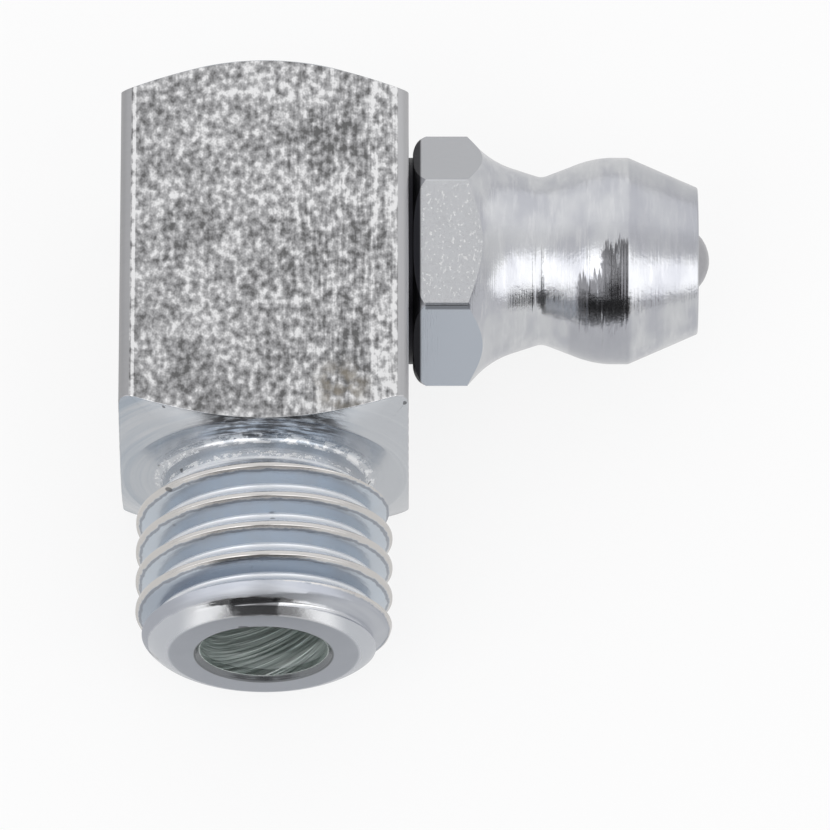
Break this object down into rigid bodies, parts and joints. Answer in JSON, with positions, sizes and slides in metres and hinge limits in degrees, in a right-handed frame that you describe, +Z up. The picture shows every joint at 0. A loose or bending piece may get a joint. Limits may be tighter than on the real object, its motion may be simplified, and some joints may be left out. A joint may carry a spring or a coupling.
{
  "type": "angled grease nipple",
  "caption": "Right-angle hydraulic grease nipple with a square body, a fine threaded stem, a hexagon coupling head and a sprung check ball.",
  "frame": {"origin": "on the stem axis, in the plane of the shoulder that seats on the machine, 4.5 mm above the flat back that the fitting lies on", "axes": "-Y out of the stem's open end, +X along the head towards its tip, +Z up from the flat back"},
  "size_m": [0.0185, 0.0184, 0.009],
  "materials": {
    "plated_body": "bright zinc plate over drawn and turned steel",
    "plated_head": "bright zinc plate over turned steel",
    "ball_steel": "polished steel ball",
    "spring_steel": "drawn spring wire"
  },
  "bodies": {
    "fitting": {"elbow_body": "plated_body", "nipple_head": "plated_head", "ball_spring": "spring_steel"},
    "ball": {"check_ball": "ball_steel"}
  },
  "joints": [
    {"name": "ball_lift", "type": "slide", "parent": "fitting", "child": "ball", "axis": [-1, 0, 0], "range_m": [0, 0.0008], "stiffness_N_per_m": 500, "springref_m": -0.001, "deforming": ["ball_spring"]}
  ]
}
